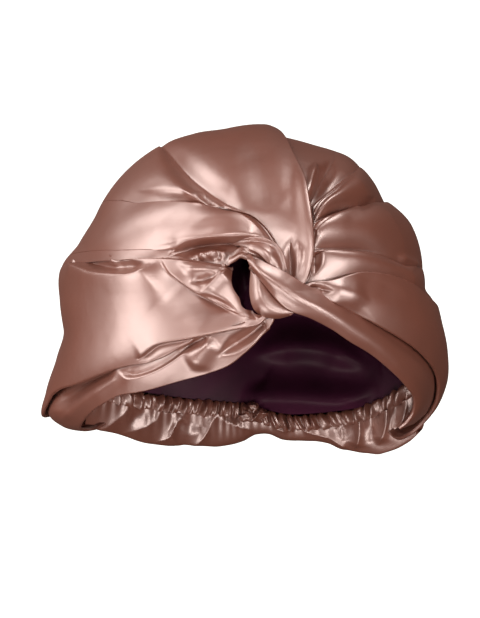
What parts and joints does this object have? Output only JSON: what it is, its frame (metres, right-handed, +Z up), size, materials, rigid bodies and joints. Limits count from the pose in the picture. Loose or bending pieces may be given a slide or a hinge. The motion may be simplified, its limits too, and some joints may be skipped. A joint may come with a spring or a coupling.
{
  "type": "silk hair wrap",
  "caption": "Ready-tied satin turban with a front twist, a peaked front opening, dark lining and a full back gathered onto an elastic nape casing.",
  "frame": {"origin": "middle of the head opening, level with the nape casing, where the wrap sits on a head", "axes": "+Z up out of the crown, -Y towards the front twist, +X to the wearer's left"},
  "size_m": [0.2293, 0.2368, 0.1893],
  "materials": {
    "rose_satin": "rose gold silk charmeuse with a broad soft sheen",
    "lining_satin": "dark aubergine satin lining"
  },
  "bodies": {
    "root": {"crown_left": "rose_satin", "crossing_panel": "rose_satin", "crown_right": "rose_satin", "wing_left": "rose_satin", "wing_right": "rose_satin", "rim_left": "rose_satin", "rim_strap": "rose_satin", "twist_loop": "rose_satin", "twist_petal": "rose_satin", "back_bag": "rose_satin", "nape_casing": "rose_satin", "casing_tuft": "rose_satin", "lining": "lining_satin"}
  },
  "joints": []
}
